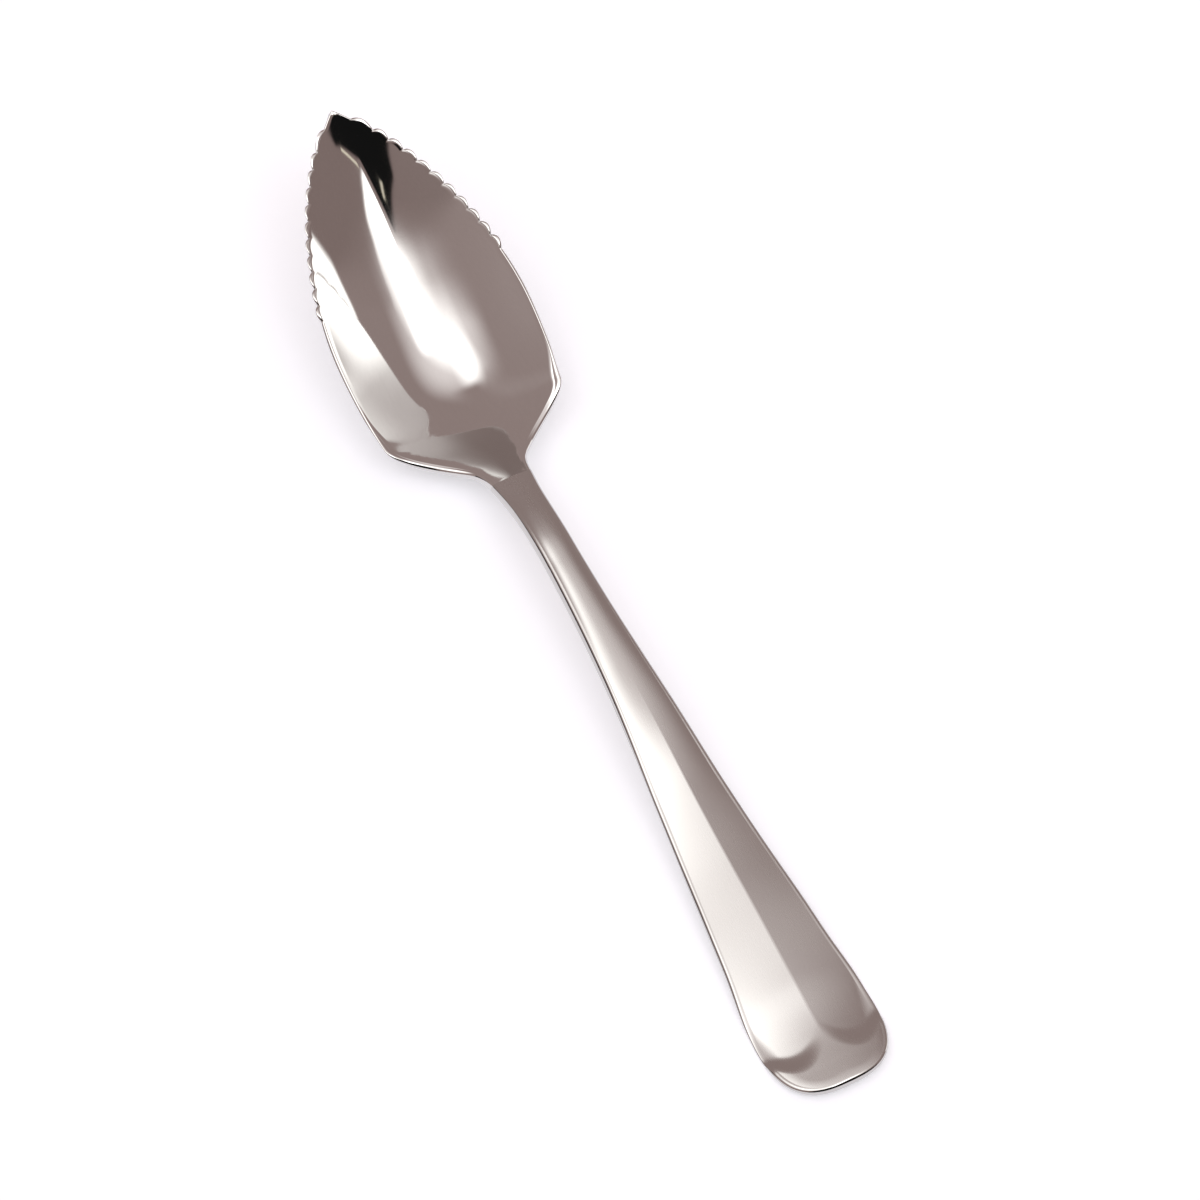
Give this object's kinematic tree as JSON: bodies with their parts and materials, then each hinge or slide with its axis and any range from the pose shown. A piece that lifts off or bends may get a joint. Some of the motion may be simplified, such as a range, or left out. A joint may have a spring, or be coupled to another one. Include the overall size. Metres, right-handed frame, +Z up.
{
  "type": "grapefruit spoon",
  "caption": "Grapefruit spoon pressed from one piece of stainless steel, with a pointed bowl whose front edges are serrated and a fluted handle.",
  "frame": {"origin": "on the table plane, under the middle of the length and of the width", "axes": "+X along the spoon from the rounded handle end to the pointed tip, +Z up from the table out of the open bowl, +Y to the left seen from the handle end"},
  "size_m": [0.1586, 0.0304, 0.0234],
  "materials": {
    "mirror_steel": "mirror polished stainless steel",
    "satin_steel": "fine satin stainless steel"
  },
  "bodies": {
    "root": {"bowl": "mirror_steel", "handle": "satin_steel"}
  },
  "joints": []
}
